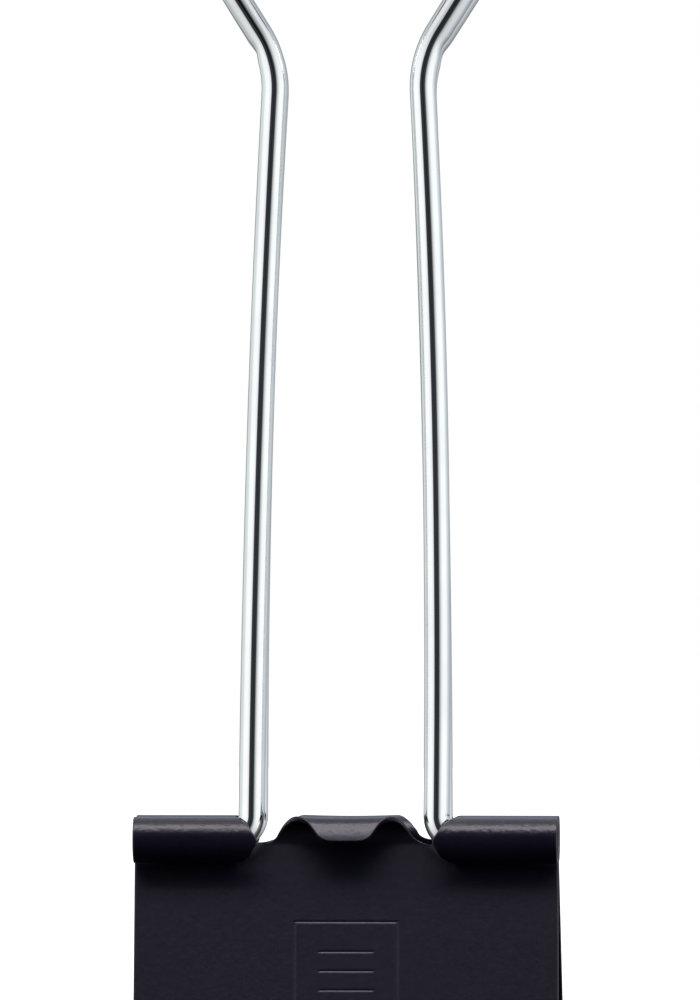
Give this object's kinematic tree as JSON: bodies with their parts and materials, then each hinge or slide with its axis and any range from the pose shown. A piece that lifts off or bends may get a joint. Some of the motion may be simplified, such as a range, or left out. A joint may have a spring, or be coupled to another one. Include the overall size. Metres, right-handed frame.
{
  "type": "binder clip",
  "caption": "Spring-steel binder clip with a flat spine, two panels that flex open and two long wire handles that fold back flat.",
  "frame": {"origin": "middle of the spine's flat underside", "axes": "+X along the clip's width, -Y out of the front panel, +Z from the spine up to the handles"},
  "size_m": [0.019, 0.0086, 0.0574],
  "materials": {
    "black_enamel": "semi-gloss black enamel, slight orange peel",
    "bright_wire": "bright nickel plate"
  },
  "bodies": {
    "spine": {"spine": "black_enamel"},
    "front_jaw": {"front_jaw": "black_enamel"},
    "rear_jaw": {"rear_jaw": "black_enamel"},
    "front_handle": {"front_handle": "bright_wire"},
    "rear_handle": {"rear_handle": "bright_wire"}
  },
  "joints": [
    {"name": "front_jaw_flex", "type": "hinge", "parent": "spine", "child": "front_jaw", "pos_m": [0, -0.00426, 0.00154], "axis": [1, 0, 0], "range_deg": [0, 18], "stiffness_Nm_per_rad": 0.54},
    {"name": "rear_jaw_flex", "type": "hinge", "parent": "spine", "child": "rear_jaw", "pos_m": [0, 0.00426, 0.00154], "axis": [-1, 0, 0], "range_deg": [0, 18], "stiffness_Nm_per_rad": 0.54},
    {"name": "front_handle_swing", "type": "hinge", "parent": "front_jaw", "child": "front_handle", "pos_m": [0, -0.00107, 0.01262], "axis": [1, 0, 0], "range_deg": [0, 160.5]},
    {"name": "rear_handle_swing", "type": "hinge", "parent": "rear_jaw", "child": "rear_handle", "pos_m": [0, 0.00107, 0.01262], "axis": [-1, 0, 0], "range_deg": [0, 160.5]}
  ]
}
